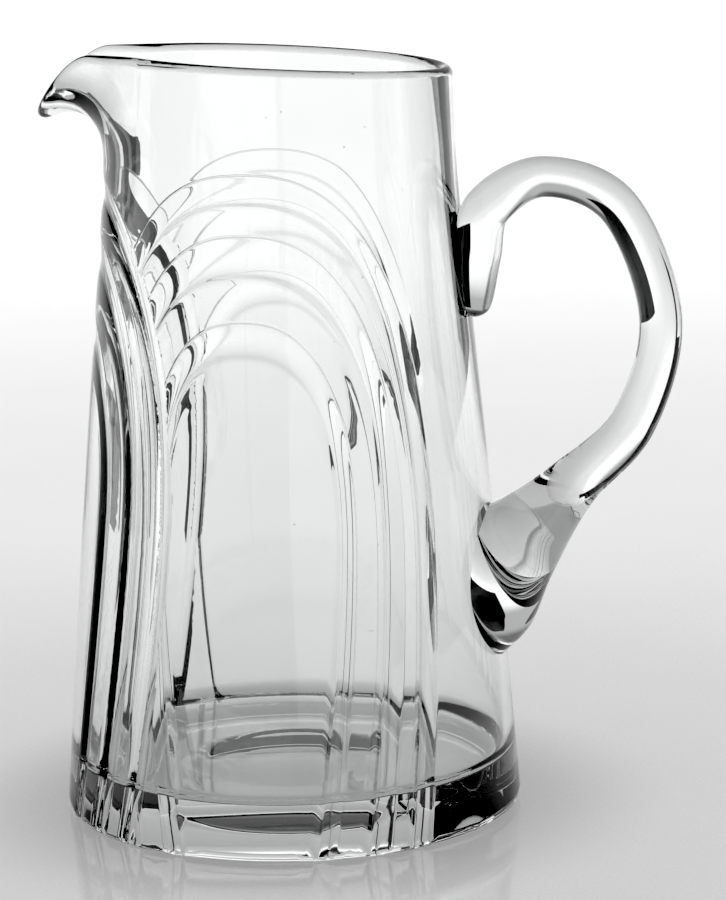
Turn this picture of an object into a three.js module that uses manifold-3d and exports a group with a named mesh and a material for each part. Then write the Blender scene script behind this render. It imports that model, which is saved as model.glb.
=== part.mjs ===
// A clear glass pitcher: a tapered mould-blown vessel cut with nested arches, and an applied loop handle.
// Millimetres, +Z up. The handle points along +X and the pouring lip along -X.
import * as THREE from 'three';
import { mergeVertices } from 'three/addons/utils/BufferGeometryUtils.js';
import Module from 'manifold-3d';

// Outside of the vessel
const FOOT_RADIUS = 72; // wall at the foot
const NECK_RADIUS = 53.2; // wall near the rim
const NECK_LENGTH = 25; // upright stretch of wall below the rim
const WALL_SWELL = 0.6; // how far the taper bows out halfway up
const NECK_BLEND = 1.5; // softness of the change from taper to neck
const FOOT_EDGE = 2.4; // rounding of the foot
const RIM_HEIGHT = 230; // rim on the handle side
const NECK_HEIGHT = RIM_HEIGHT - NECK_LENGTH;
const RIM_RISE = 6.8; // how much higher the rim runs on the lip's side
const RIM_RISE_TURN = THREE.MathUtils.degToRad(3); // from -X round towards +Y, where it is highest
const RIM_RISE_POWER = 0.9; // above 1 gathers the rise nearer the lip, below 1 spreads it

// Inside of the vessel
const WALL = 3.7; // wall thickness of the body
const RIM_WALL = 4.6; // wall thickness of the fire-polished rim
const FLOOR = 16; // thickness of the solid base
const FLOOR_FILLET = 4.5; // round between the floor and the wall
const PONTIL_RADIUS = 29; // ground and polished hollow under the base
const PONTIL_DEPTH = 2.2;

// Pouring lip, the last stretch of wall rolled outwards
const LIP_LENGTH = 27; // height below the rim where the wall starts to roll
const LIP_ROOT = RIM_HEIGHT - LIP_LENGTH;
const LIP_CURL = THREE.MathUtils.degToRad(115); // how far the edge has turned at the tip
const LIP_FLARE_ANGLE = THREE.MathUtils.degToRad(40); // half angle of rim drawn outwards
const LIP_DIP_ANGLE = THREE.MathUtils.degToRad(24); // half angle of rim turned down
const LIP_TURN = THREE.MathUtils.degToRad(8); // middle of the lip, from -X round towards -Y

// Arch panels: a scoop runs in from the start of each arch to a crease, and a rounded ledge steps out again
const ARCH_SPRING = 100; // height where the arches spring from their legs
const ARCH_POWER = 2.2; // 2 is an ellipse, more is squarer
const LEG_DRAW = THREE.MathUtils.degToRad(9); // how far the legs draw in by the foot
const LEG_BEND = 1.5; // 1 draws the legs in straight, more leaves it to their lower ends
const CREASE = 0.42; // its place, as a share of the way from the edge of the ledge out to the start
const SECTION_SHARES = [1, 0.72, CREASE, 0.2, 0]; // places on that way that an arch's section runs through
const ARCHES = [
  { start: 55, ledge: 47.5, startDrop: 27.5, ledgeDrop: 42, depth: 1.8 },
  { start: 44, ledge: 35.5, startDrop: 45, ledgeDrop: 65, depth: 1.6 },
  { start: 30.3, ledge: 22.9, startDrop: 70, ledgeDrop: 87, depth: 1.3 },
]; // half angles in degrees, drops of the apex below the rim and depths in millimetres
const LIP_PANEL_EXTRA = 5.5; // degrees by which the panel under the lip is wider on each side
const LIP_PANEL_DROP = 2.2; // how much lower its arches run
const PANEL_STEP = LIP_TURN - Math.PI / 2; // from the front panel round to the lip's, and on to the back one

// Handle, a gather drawn out from a broad pad on the lower wall and turned back to a tail on the upper wall
const HANDLE_FOOT = 66; // middle of its lower end above the foot
const HANDLE_DROP = 33.2; // top of its centreline below the rim
const HANDLE_REACH = 58.3; // furthest that its centreline stands off the wall
const ROD = 13; // thickness of the rod
const TAIL_WIDTH = 22;
const PAD_WIDTH = 51;
const HANDLE_STATIONS = [
  { rise: 0.673, reach: 0.017 * HANDLE_REACH, thick: 0.36 * TAIL_WIDTH, width: 0.45 * TAIL_WIDTH },
  { rise: 0.726, reach: 0.043 * HANDLE_REACH, thick: 0.5 * TAIL_WIDTH, width: 0.73 * TAIL_WIDTH },
  { rise: 0.818, reach: 0.077 * HANDLE_REACH, thick: 0.64 * TAIL_WIDTH, width: 0.95 * TAIL_WIDTH },
  { rise: 0.929, reach: 0.154 * HANDLE_REACH, thick: 0.66 * TAIL_WIDTH, width: TAIL_WIDTH },
  { rise: 1, reach: 0.463 * HANDLE_REACH, thick: 0.95 * ROD, width: 1.08 * ROD },
  { rise: 0.929, reach: 0.84 * HANDLE_REACH, thick: 0.98 * ROD, width: ROD },
  { rise: 0.673, reach: HANDLE_REACH, thick: ROD, width: ROD },
  { rise: 0.428, reach: 0.806 * HANDLE_REACH, thick: 1.08 * ROD, width: 1.08 * ROD },
  { rise: 0.275, reach: 0.446 * HANDLE_REACH, thick: 1.31 * ROD, width: 1.38 * ROD },
  { rise: 0.145, reach: 0.146 * HANDLE_REACH, thick: 0.57 * PAD_WIDTH, width: 0.745 * PAD_WIDTH },
  { rise: 0.061, reach: -0.069 * HANDLE_REACH, thick: 0.86 * PAD_WIDTH, width: 0.96 * PAD_WIDTH },
  { rise: 0, reach: -0.24 * HANDLE_REACH, thick: 0.92 * PAD_WIDTH, width: PAD_WIDTH },
]; // rise is the share of the way from the middle of its lower end up to its top
const HANDLE_TIP = 0.05; // share of the handle's run that rounds off its upper end
const TIP_SHARE = 0.96; // share of a full rounding that the end gets, where 1 comes to a point
const FIT_GAP = 0.3; // between the handle and the wall that it sits on

// Fineness of the facets
const ROUND_STEPS = 80;
const BODY_ROWS = 5;
const NECK_ROWS = 7;
const INNER_ROWS = 3;
const HOLLOW_ROWS = 3;
const EDGE_ROWS = 3;
const RIM_ROWS = 4;
const FILLET_ROWS = 2;
const SEAT_ROWS = 12;
const ROLL_STEPS = 24;
const ARCH_STEPS = 11;
const LEG_STEPS = 4;
const HANDLE_STEPS = 52;
const HANDLE_SIDES = 20;
const CUT_CLEAR = 4; // how far cutters stand clear of what they cut
const MERGE_WITHIN = 1e-4; // corners closer than this are one

const wasm = await Module();
wasm.setup();

const mix = THREE.MathUtils.lerp;

// The larger of two values, with their crossing rounded over
function softMax(a, b, blend) {
  return (a + b + Math.hypot(a - b, blend)) / 2;
}

// Outside radius of the plain wall at a height
function outerRadius(z) {
  const share = z / NECK_HEIGHT;
  const taper = mix(FOOT_RADIUS, NECK_RADIUS, share) + WALL_SWELL * 4 * share * (1 - share);
  return softMax(taper, NECK_RADIUS, NECK_BLEND);
}

// Thickness of the wall at a height, growing towards the rim above the roots of the lip
function wallThickness(z) {
  return mix(WALL, RIM_WALL, THREE.MathUtils.smoothstep(z, LIP_ROOT, RIM_HEIGHT));
}

// Solids and geometries
function toSolid(geometry) {
  const bare = geometry.clone();
  bare.deleteAttribute('normal');
  bare.deleteAttribute('uv');
  const merged = mergeVertices(bare, MERGE_WITHIN);
  const position = merged.attributes.position;
  const corners = [...merged.index.array];
  const faces = [];
  for (let i = 0; i < corners.length; i += 3) {
    const [a, b, c] = corners.slice(i, i + 3);
    if (a !== b && b !== c && c !== a) faces.push([a, b, c]);
  }
  const point = (i) => new THREE.Vector3().fromBufferAttribute(position, i);
  const volume = faces.reduce((sum, [a, b, c]) => sum + point(a).dot(point(b).cross(point(c))), 0);
  const outward = volume > 0 ? faces : faces.map(([a, b, c]) => [a, c, b]);
  const mesh = new wasm.Mesh({
    numProp: 3,
    vertProperties: Float32Array.from(position.array),
    triVerts: Uint32Array.from(outward.flat()),
  });
  return new wasm.Manifold(mesh);
}

function toGeometry(solid) {
  const mesh = solid.getMesh();
  const geometry = new THREE.BufferGeometry();
  geometry.setAttribute('position', new THREE.BufferAttribute(Float32Array.from(mesh.vertProperties), 3));
  geometry.setIndex([...mesh.triVerts]);
  geometry.computeVertexNormals();
  return geometry;
}

// A closed skin through rings of points, all with the same count, with flat ends
function loft(rings) {
  const sides = rings[0].length;
  const faces = [];
  for (let i = 0; i + 1 < rings.length; i += 1) {
    for (let j = 0; j < sides; j += 1) {
      const k = (j + 1) % sides;
      const [a, b] = [i * sides + j, i * sides + k];
      faces.push(a, b, b + sides, a, b + sides, a + sides);
    }
  }
  const last = (rings.length - 1) * sides;
  for (let j = 1; j + 1 < sides; j += 1) {
    faces.push(0, j + 1, j);
    faces.push(last, last + j, last + j + 1);
  }
  const geometry = new THREE.BufferGeometry().setFromPoints(rings.flat());
  geometry.setIndex(faces);
  return geometry;
}

// A profile of (radius, height) points turned about Z
function revolve(profile) {
  return new THREE.LatheGeometry(profile, ROUND_STEPS).rotateX(Math.PI / 2);
}

// Points on an arc of the profile plane
function arc(centreR, centreZ, radius, fromDegrees, toDegrees, steps) {
  return Array.from({ length: steps + 1 }, (_, i) => {
    const angle = THREE.MathUtils.degToRad(mix(fromDegrees, toDegrees, i / steps));
    return new THREE.Vector2(centreR + radius * Math.cos(angle), centreZ + radius * Math.sin(angle));
  });
}

function heights(from, to, steps) {
  return Array.from({ length: steps + 1 }, (_, i) => mix(from, to, i / steps));
}

// The vessel before its lip is pulled, as a profile from under the base round to the inner floor
function vesselProfile() {
  const rimRound = RIM_WALL / 2;
  const rimBase = RIM_HEIGHT - rimRound;
  const body = heights(FOOT_EDGE, LIP_ROOT, BODY_ROWS);
  const neck = heights(LIP_ROOT, rimBase, NECK_ROWS);
  const pontilRound = (PONTIL_RADIUS ** 2 + PONTIL_DEPTH ** 2) / (2 * PONTIL_DEPTH);
  const pontil = heights(0, PONTIL_RADIUS, HOLLOW_ROWS).map(
    (r) => new THREE.Vector2(r, PONTIL_DEPTH - pontilRound + Math.sqrt(pontilRound ** 2 - r ** 2)),
  );
  const outside = (z) => new THREE.Vector2(outerRadius(z), z);
  const inside = (z) => new THREE.Vector2(outerRadius(z) - wallThickness(z), z);
  const filletTop = FLOOR + FLOOR_FILLET;
  const filletCentre = inside(filletTop).x - FLOOR_FILLET;
  const innerBody = heights(filletTop, LIP_ROOT, INNER_ROWS);
  const footCentre = outerRadius(FOOT_EDGE) - FOOT_EDGE;
  return [
    ...pontil,
    ...arc(footCentre, FOOT_EDGE, FOOT_EDGE, -90, 0, EDGE_ROWS),
    ...body.slice(1).map(outside),
    ...neck.slice(1).map(outside),
    ...arc(outerRadius(rimBase) - rimRound, rimBase, rimRound, 0, 180, RIM_ROWS).slice(1, -1),
    ...neck.map(inside).reverse(),
    ...innerBody.map(inside).reverse().slice(1),
    ...arc(filletCentre, filletTop, FLOOR_FILLET, 0, -90, FILLET_ROWS).slice(1),
    new THREE.Vector2(0, FLOOR),
  ];
}

// Where the rolled lip's middle line has got to after a length of wall, as reach, height and turn
function lipRoll(length, whole) {
  const turn = (s) => LIP_CURL * THREE.MathUtils.smoothstep(s, 0, whole);
  let [reach, height] = [0, 0];
  const step = length / ROLL_STEPS;
  for (let i = 0; i < ROLL_STEPS; i += 1) {
    const angle = turn(step * (i + 0.5));
    reach += Math.sin(angle) * step;
    height += Math.cos(angle) * step;
  }
  return { reach, height, turn: turn(length) };
}

// A window that is 1 at the middle of the lip and falls to 0 at a half angle
function lipWindow(angle, halfAngle) {
  return Math.abs(angle) < halfAngle ? Math.cos((Math.PI * angle) / (2 * halfAngle)) ** 2 : 0;
}

// Raises the rim towards the lip, then rolls the lip outwards and down
function pullLip(geometry) {
  const position = geometry.attributes.position;
  const tipLength = LIP_LENGTH + RIM_RISE;
  for (let i = 0; i < position.count; i += 1) {
    const [x, y, z] = [position.getX(i), position.getY(i), position.getZ(i)];
    if (z <= LIP_ROOT) continue;
    const angle = Math.atan2(-y, -x);
    const fromLip = angle - LIP_TURN;
    const r = Math.hypot(x, y);
    const climb = (z - LIP_ROOT) / LIP_LENGTH;
    const nearness = (1 + Math.cos(angle + RIM_RISE_TURN)) / 2;
    const raised = z + RIM_RISE * climb * nearness ** RIM_RISE_POWER;
    const offset = r - (outerRadius(z) - wallThickness(z) / 2);
    const roll = lipRoll(tipLength * climb, tipLength);
    const rootRadius = outerRadius(LIP_ROOT) - WALL / 2;
    const rolledR = rootRadius + roll.reach + offset * Math.cos(roll.turn);
    const rolledZ = LIP_ROOT + roll.height - offset * Math.sin(roll.turn);
    const newR = mix(r, rolledR, lipWindow(fromLip, LIP_FLARE_ANGLE));
    const newZ = mix(raised, rolledZ, lipWindow(fromLip, LIP_DIP_ANGLE));
    position.setXYZ(i, (x / r) * newR, (y / r) * newR, newZ);
  }
  return geometry;
}

// Half an arch as (angle from the panel's middle, height), from the apex down to under the foot
function halfArch(halfDegrees, drop) {
  const apex = RIM_HEIGHT - drop;
  const half = THREE.MathUtils.degToRad(halfDegrees);
  const crown = Array.from({ length: ARCH_STEPS + 1 }, (_, i) => {
    const turn = (Math.PI / 2) * (i / ARCH_STEPS);
    const across = Math.sin(turn) ** (2 / ARCH_POWER);
    const up = Math.max(Math.cos(turn), 0) ** (2 / ARCH_POWER);
    return { angle: half * across, z: mix(ARCH_SPRING, apex, up) };
  });
  const leg = heights(ARCH_SPRING, -CUT_CLEAR, LEG_STEPS).slice(1).map((z) => {
    const down = (ARCH_SPRING - z) / ARCH_SPRING;
    return { angle: half - LEG_DRAW * down ** LEG_BEND, z };
  });
  return [...crown, ...leg];
}

// A whole arch from the left foot over the apex to the right foot
function wholeArch(halfDegrees, drop) {
  const right = halfArch(halfDegrees, drop);
  const left = right.slice(1).reverse().map(({ angle, z }) => ({ angle: -angle, z }));
  return [...left, ...right];
}

// A point on the wall of the panel that faces -Y, lifted off it by an offset
function onWall({ angle, z }, offset) {
  const r = outerRadius(Math.max(z, 0)) + offset;
  return new THREE.Vector3(r * Math.sin(angle), -r * Math.cos(angle), z);
}

// Depth of an arch's section at a share of the way from the edge of its ledge out to its start
function cutDepth(share, depth) {
  if (share < CREASE) return depth * (share / CREASE) ** 2;
  return depth * (1 - ((share - CREASE) / (1 - CREASE)) ** 2);
}

// The cutter for one arch
function archCutter(arch, extraDegrees, extraDrop) {
  const start = wholeArch(arch.start + extraDegrees, arch.startDrop + extraDrop);
  const ledge = wholeArch(arch.ledge + extraDegrees, arch.ledgeDrop + extraDrop);
  const rings = ledge.map((top, i) => {
    const section = SECTION_SHARES.map((share) => {
      const place = { angle: mix(top.angle, start[i].angle, share), z: mix(top.z, start[i].z, share) };
      return onWall(place, -cutDepth(share, arch.depth));
    });
    return [...section, onWall(top, CUT_CLEAR), onWall(start[i], CUT_CLEAR)];
  });
  return loft(rings);
}

// Everything within the outer crease of the panel under the lip, which covers the panels beside it
function lipPanelCover() {
  const [outer] = ARCHES;
  const half = mix(outer.ledge, outer.start, CREASE) + LIP_PANEL_EXTRA;
  const drop = mix(outer.ledgeDrop, outer.startDrop, CREASE) + LIP_PANEL_DROP;
  const edge = wholeArch(half, drop).map((p) => onWall(p, 0));
  const outline = new THREE.Shape(edge.map((p) => new THREE.Vector2(p.x, p.z)));
  const depth = FOOT_RADIUS + 2 * CUT_CLEAR;
  return new THREE.ExtrudeGeometry(outline, { depth, bevelEnabled: false }).rotateX(Math.PI / 2);
}

function makeVessel() {
  let solid = toSolid(pullLip(revolve(vesselProfile())));
  const cover = toSolid(lipPanelCover().rotateZ(PANEL_STEP));
  for (const arch of ARCHES) {
    for (const turn of [0, 2 * PANEL_STEP]) {
      solid = solid.subtract(toSolid(archCutter(arch, 0, 0).rotateZ(turn)).subtract(cover));
    }
    const lipCutter = archCutter(arch, LIP_PANEL_EXTRA, LIP_PANEL_DROP);
    solid = solid.subtract(toSolid(lipCutter.rotateZ(PANEL_STEP)));
  }
  const glass = new THREE.MeshStandardMaterial({ color: 0xe9eeed, roughness: 0.03, metalness: 0 });
  const vessel = new THREE.Mesh(toGeometry(solid), glass);
  vessel.name = 'vessel';
  return vessel;
}

// The handle's centreline, and the thickness and width of its section along it
function handleCurves() {
  const middle = HANDLE_STATIONS.map(({ rise, reach }) => {
    const z = mix(HANDLE_FOOT, RIM_HEIGHT - HANDLE_DROP, rise);
    return new THREE.Vector3(outerRadius(z) + reach, 0, z);
  });
  const sizes = HANDLE_STATIONS.map(({ thick, width }) => new THREE.Vector3(thick, width, 0));
  return [middle, sizes].map((points) => new THREE.CatmullRomCurve3(points, false, 'catmullrom'));
}

// Share of the full section left at a place on the handle's run, for the round upper tip
function tipShare(along) {
  const back = 1 - Math.min(along / HANDLE_TIP, 1);
  return Math.sqrt(1 - (TIP_SHARE * back) ** 2);
}

function makeHandle() {
  const [path, sizes] = handleCurves();
  const rings = Array.from({ length: HANDLE_STEPS + 1 }, (_, i) => {
    const along = i / HANDLE_STEPS;
    const centre = path.getPoint(along);
    const tangent = path.getTangent(along);
    const across = new THREE.Vector3(tangent.z, 0, -tangent.x);
    const size = sizes.getPoint(along).multiplyScalar(tipShare(along) / 2);
    return Array.from({ length: HANDLE_SIDES }, (_unused, j) => {
      const turn = (2 * Math.PI * j) / HANDLE_SIDES;
      const point = centre.clone().addScaledVector(across, size.x * Math.cos(turn));
      return point.setY(size.y * Math.sin(turn));
    });
  });
  const seatRadius = (z) => outerRadius(Math.max(z, 0)) + FIT_GAP;
  const seat = revolve([
    new THREE.Vector2(0, -CUT_CLEAR),
    ...heights(-CUT_CLEAR, RIM_HEIGHT, SEAT_ROWS).map((z) => new THREE.Vector2(seatRadius(z), z)),
    new THREE.Vector2(0, RIM_HEIGHT),
  ]);
  const solid = toSolid(loft(rings)).subtract(toSolid(seat));
  const glass = new THREE.MeshStandardMaterial({ color: 0xe6ecec, roughness: 0.04, metalness: 0 });
  const handle = new THREE.Mesh(toGeometry(solid), glass);
  handle.name = 'handle';
  return handle;
}

const pitcher = new THREE.Group();
pitcher.add(makeVessel(), makeHandle());

// The origin is under the middle of the whole outline, on the plane that the foot stands on
const outlineMiddle = new THREE.Box3().setFromObject(pitcher).getCenter(new THREE.Vector3());
pitcher.position.set(-outlineMiddle.x, -outlineMiddle.y, 0);

export default pitcher;
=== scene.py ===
"""A clear glass pitcher with nested arches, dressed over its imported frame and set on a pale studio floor."""

import math
from dataclasses import dataclass

import bmesh
import bpy
import numpy as np
from bpy.props import FloatProperty, FloatVectorProperty, PointerProperty
from mathutils import Matrix, Vector, geometry
from mathutils.kdtree import KDTree


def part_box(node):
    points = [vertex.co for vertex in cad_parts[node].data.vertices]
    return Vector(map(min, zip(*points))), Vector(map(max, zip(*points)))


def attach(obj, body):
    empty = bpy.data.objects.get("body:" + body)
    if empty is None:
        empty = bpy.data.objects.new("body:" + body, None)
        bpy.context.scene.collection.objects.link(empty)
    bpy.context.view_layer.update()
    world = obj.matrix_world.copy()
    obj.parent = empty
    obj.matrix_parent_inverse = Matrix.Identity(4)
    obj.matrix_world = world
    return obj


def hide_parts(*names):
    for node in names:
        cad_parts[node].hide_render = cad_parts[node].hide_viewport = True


bl_info = {
    "name": "Glass Pitcher",
    "version": (1, 0, 0),
    "blender": (4, 5, 0),
    "location": "View3D > Sidebar > Pitcher",
    "description": "Builds a mould-blown glass pitcher with an applied handle, and a pale studio round it",
    "category": "Object",
}

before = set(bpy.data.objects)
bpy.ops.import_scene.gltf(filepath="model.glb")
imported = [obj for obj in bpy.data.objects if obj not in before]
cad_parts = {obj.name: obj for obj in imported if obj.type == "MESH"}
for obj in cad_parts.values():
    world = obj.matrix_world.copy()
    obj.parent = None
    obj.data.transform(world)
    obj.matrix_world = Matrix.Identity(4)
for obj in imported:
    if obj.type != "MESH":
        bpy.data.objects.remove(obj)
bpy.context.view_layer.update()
VESSEL_LOW, VESSEL_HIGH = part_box("vessel")
HANDLE_LOW, HANDLE_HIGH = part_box("handle")
MM = 0.001

# The vessel's upright axis lies in the handle's middle plane, and its foot is uncut towards +X and -Y
AXIS_Y = (HANDLE_LOW.y + HANDLE_HIGH.y) / 2
AXIS_X = VESSEL_HIGH.x - (AXIS_Y - VESSEL_LOW.y)


@dataclass(frozen=True)
class Arch:
    """One cut arch: half angles, drops of its apex below the rim, depth, and how slowly its crown deepens."""

    start: float
    ledge: float
    start_drop: float
    ledge_drop: float
    depth: float
    slow: float


@dataclass(frozen=True)
class Panel:
    """One panel: middle, extra half width, drop of its apexes, and the depth share and fade of its crowns."""

    middle: float
    extra: float
    drop: float
    crown: float
    fade: float


ARCHES = (
    Arch(math.radians(55), math.radians(47.5), 27.5 * MM, 42 * MM, 1.8 * MM, 1.0),
    Arch(math.radians(44), math.radians(35.5), 45 * MM, 65 * MM, 1.6 * MM, 1.5),
    Arch(math.radians(30.3), math.radians(22.9), 70 * MM, 87 * MM, 1.3 * MM, 1.0),
)
FRONT = math.radians(270)
LEG_BEND = 1.5
ROOT_SHARE = 0.42
ROOT_ROUND = 0.1 * MM
BROW_ROUND = 0.16 * MM
GROOVE_ROOT = (0.36, 0.48)
GROOVE_START = (0.55, 1.0)
LINE_HALF = 0.03

# Lines of mesh that follow each arch, as shares of the way from its inner edge to the start of its scoop
ARCH_LINES = (
    -0.06, 0.0, 0.1, 0.2, 0.3, 0.37, 0.41, 0.43, 0.47, 0.55,
    0.66, 0.77, 0.87, 0.94, 0.97, 0.985, 1.0, 1.015, 1.03, 1.07,
)
LINE_STEP = 1.3 * MM
CROWN_POINTS = 200
LEG_POINTS = 120
FIELD_STEP = 2.4 * MM
SEAM_STEP = 1.5 * MM
SEAM_ANGLE = math.radians(-27)
MEAN_RADIUS = 62 * MM
LINE_CLEAR = 0.2 * MM
FIELD_CLEAR = 1.15 * MM
COLUMNS = 288
NEWTON_STEPS = 6
SHARE_LIMITS = (-1.5, 3.0)
TINY = 1e-9
NORMAL_STEP = 0.02 * MM
MESH_EPSILON = 1e-5
ROLL_STEPS = 48

# Rows of mesh over the rim, down the neck, wall and fillet to the floor, and under the foot into the hollow
RIM_ROWS = 14
NECK_ROWS = 24
WALL_ROWS = 60
FILLET_ROWS = 12
FLOOR_ROWS = 9
FOOT_ROWS = 8
HOLLOW_ROWS = 14

# Waves of the uneven inner wall: share of its wobble, waves round it, radians for each metre up, and phase
WAVES = ((1.0, 3, 19, 0.0), (0.7, 5, -31, 1.3), (0.6, 2, 53, 0.6))


@dataclass(frozen=True)
class Station:
    """A place along the handle: rise as a share, the rest as multiples of its reach, rod, tail or pad."""

    rise: float
    reach: float
    thick: float
    width: float
    size: str


STATIONS = (
    Station(0.673, 0.017, 0.36, 0.45, "tail_width"),
    Station(0.726, 0.043, 0.5, 0.73, "tail_width"),
    Station(0.818, 0.077, 0.64, 0.95, "tail_width"),
    Station(0.929, 0.154, 0.66, 1.0, "tail_width"),
    Station(1.0, 0.463, 0.95, 1.08, "rod"),
    Station(0.929, 0.84, 0.98, 1.0, "rod"),
    Station(0.673, 1.0, 1.0, 1.0, "rod"),
    Station(0.428, 0.806, 1.08, 1.08, "rod"),
    Station(0.275, 0.446, 1.31, 1.38, "rod"),
    Station(0.145, 0.146, 0.57, 0.745, "pad_width"),
    Station(0.061, -0.069, 0.86, 0.96, "pad_width"),
    Station(0.0, -0.24, 0.92, 1.0, "pad_width"),
)
HANDLE_STEPS = 260
HANDLE_SIDES = 72
HANDLE_TIP = 0.05
TIP_SHARE = 0.96
SEAT_ROWS = 140
SEAT_CLEAR = 10 * MM
SHARP_ANGLE = math.radians(40)


def length(name, text, millimetres):
    """A size in metres that the user may change."""
    default = millimetres * MM
    return FloatProperty(name=name, description=text, default=default, min=0, precision=4, unit="LENGTH")


def angle(name, text, degrees):
    """An angle that the user may change."""
    return FloatProperty(name=name, description=text, default=math.radians(degrees), subtype="ANGLE")


def amount(name, text, default):
    """A plain amount that the user may change."""
    return FloatProperty(name=name, description=text, default=default)


def colour(name, text, default):
    """A colour that the user may change."""
    settings = {"size": 3, "min": 0, "max": 1, "subtype": "COLOR"}
    return FloatVectorProperty(name=name, description=text, default=default, **settings)


class PitcherVesselSizes(bpy.types.PropertyGroup):
    """Sizes of the blown vessel."""

    foot_radius: length("Foot radius", "Outside radius of the wall at the foot", 72)
    neck_radius: length("Neck radius", "Outside radius of the wall near the rim", 53.2)
    rim_height: length("Rim height", "Height of the rim on the handle side", 230)
    neck_length: length("Neck length", "Upright stretch of wall below the rim", 25)
    wall_swell: length("Swell", "How far the taper bows out halfway up", 0.6)
    neck_blend: length("Neck blend", "Softness of the change from taper to neck", 1.5)
    foot_edge: length("Foot edge", "Rounding of the foot", 2.4)
    rim_rise: length("Rim rise", "How much higher the rim runs beside the lip", 6.78)
    rim_turn: angle("Rim turn", "Where the rim is highest, from -X round towards +Y", 3)
    rim_power: amount("Rim power", "Above 1 gathers the rise nearer the lip", 0.9)
    wall: length("Wall", "Thickness of the wall", 3.7)
    rim_wall: length("Rim wall", "Thickness of the fire-polished rim", 4.6)
    floor: length("Floor", "Thickness of the solid base", 16)
    floor_fillet: length("Floor fillet", "Round between the inner floor and the wall", 4.5)
    pontil_radius: length("Hollow radius", "Ground and polished hollow under the base", 29)
    pontil_depth: length("Hollow depth", "Depth of the hollow under the base", 2.2)
    lip_length: length("Lip length", "Wall below the rim that the lip takes up", 26.5)
    lip_curl: angle("Lip curl", "How far the edge of the lip has turned", 115)
    lip_flare: angle("Lip flare", "Half angle of rim drawn outwards", 40)
    lip_dip: angle("Lip dip", "Half angle of rim turned down", 24)
    lip_turn: angle("Lip turn", "Middle of the lip and of the panel under it, from -X round towards -Y", 8)
    arch_spring: length("Arch spring", "Height where the arches spring from their legs", 100)
    arch_power: amount("Arch power", "2 is an ellipse, more is squarer", 2.4)
    groove: length("Groove", "Depth of the cuts at the crowns of the panels beside the lip", 0.25)
    line: length("Line", "Depth of the fine line where a cut starts at a crown", 0.2)
    crown_fade: amount("Crown fade", "How far down the crowns reach their depth", 0.65)
    lip_crown: amount("Lip crown", "Depth under the lip at the crowns, against the legs", 0.4)
    leg_draw: angle("Leg draw", "How far the legs draw in by the foot", 9)
    lip_extra: angle("Lip panel", "How much wider the panel under the lip is on each side", 5.5)
    lip_drop: length("Lip panel drop", "How much lower the arches under the lip are", 2.2)
    wobble: length("Wobble", "Unevenness of the blown inner wall", 0.09)


class PitcherHandleSizes(bpy.types.PropertyGroup):
    """Sizes of the applied handle."""

    foot: length("Lower end", "Middle of the lower end above the foot", 66)
    drop: length("Drop", "Top of the centreline below the rim", 33.2)
    reach: length("Reach", "Furthest that the centreline stands off the wall", 58.24)
    rod: length("Rod", "Thickness of the rod", 13)
    tail_width: length("Tail", "Width of the upper root", 22)
    pad_width: length("Pad", "Width of the lower root", 51)
    gap: length("Gap", "Between the handle's seat and the wall", 0.03)


class PitcherGlassLook(bpy.types.PropertyGroup):
    """Finish of the glass."""

    tint: colour("Tint", "Colour of the glass", (0.982, 0.989, 0.987))
    speck: colour("Speck", "Colour of dust and wear marks", (0.5, 0.5, 0.5))
    index: amount("Index", "Index of refraction", 1.5)
    polish: amount("Polish", "Roughness of the smudged glass", 0.012)
    ripple: length("Ripple", "Depth of the ripple left by blowing", 0.02)


class PitcherStageLook(bpy.types.PropertyGroup):
    """Camera, floor and light."""

    azimuth: angle("Azimuth", "Side that the camera stands on, from -Y round towards +X", 12)
    distance: length("Distance", "Camera from the vessel's axis, along the floor", 934.33)
    height: length("Height", "Camera above the floor", 287.14)
    yaw: angle("Yaw", "Camera turned to the right", 1.458)
    pitch: angle("Pitch", "Camera turned up", -10.685)
    roll: angle("Roll", "Camera rolled", -1.109)
    lens: amount("Lens", "Focal length on a 36 mm long side", 121.69)
    floor_glow: amount("Floor glow", "Glow of the pale floor", 0.64)
    floor_index: amount("Floor polish", "Index of the pale floor's polish", 1.5)
    # The floor's glow is dimmed by painted shade: a painted contact shadow under the foot, then a wider
    # painted shade round it.
    foot_shade: amount("Foot shade", "Glow of the floor under the foot", 0.6)
    near_painted_shade: amount("Near floor", "Glow of the floor by the foot", 0.78)
    floor_clear: length("Floor clear", "Where the floor starts to fade into the backdrop", 500)
    floor_end: length("Floor end", "Where the floor has faded into the backdrop", 2400)
    near_radius: length("Near cards", "Near dark cards from the vessel's axis", 450)
    near_height: length("Near height", "Height of the near cards", 330)
    far_radius: length("Far cards", "Far dark cards from the vessel's axis", 1200)
    far_height: length("Far height", "Height of the far cards", 600)
    backdrop: amount("Backdrop", "Light of the backdrop", 1.06)
    sky: amount("Sky", "Light of the soft sky against the backdrop", 0.1)
    black: amount("Black", "Light that prints as black", 0.045)
    dark: amount("Dark", "Light from the dark part of the room", 0.012)


# Maths of the shape
def soft_max(a, b, blend):
    """The larger of two values, with their crossing rounded over."""
    return (a + b + np.hypot(a - b, blend)) / 2


def soft_min(a, b, blend):
    """The smaller of two values, with their crossing rounded over."""
    return -soft_max(-a, -b, blend)


def smoothstep(x, low, high):
    """0 below low, 1 above high and an even S between."""
    share = np.clip((x - low) / (high - low), 0, 1)
    return share * share * (3 - 2 * share)


def mix(a, b, share):
    """Share of the way from a to b."""
    return a + (b - a) * share


def wrapped(turn):
    """An angle brought to within half a turn of zero."""
    return (turn + math.pi) % (2 * math.pi) - math.pi


def outer_radius(v, z):
    """Outside radius of the plain wall at a height."""
    neck_height = v.rim_height - v.neck_length
    share = z / neck_height
    taper = mix(v.foot_radius, v.neck_radius, share) + v.wall_swell * 4 * share * (1 - share)
    return soft_max(taper, v.neck_radius, v.neck_blend)


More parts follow.
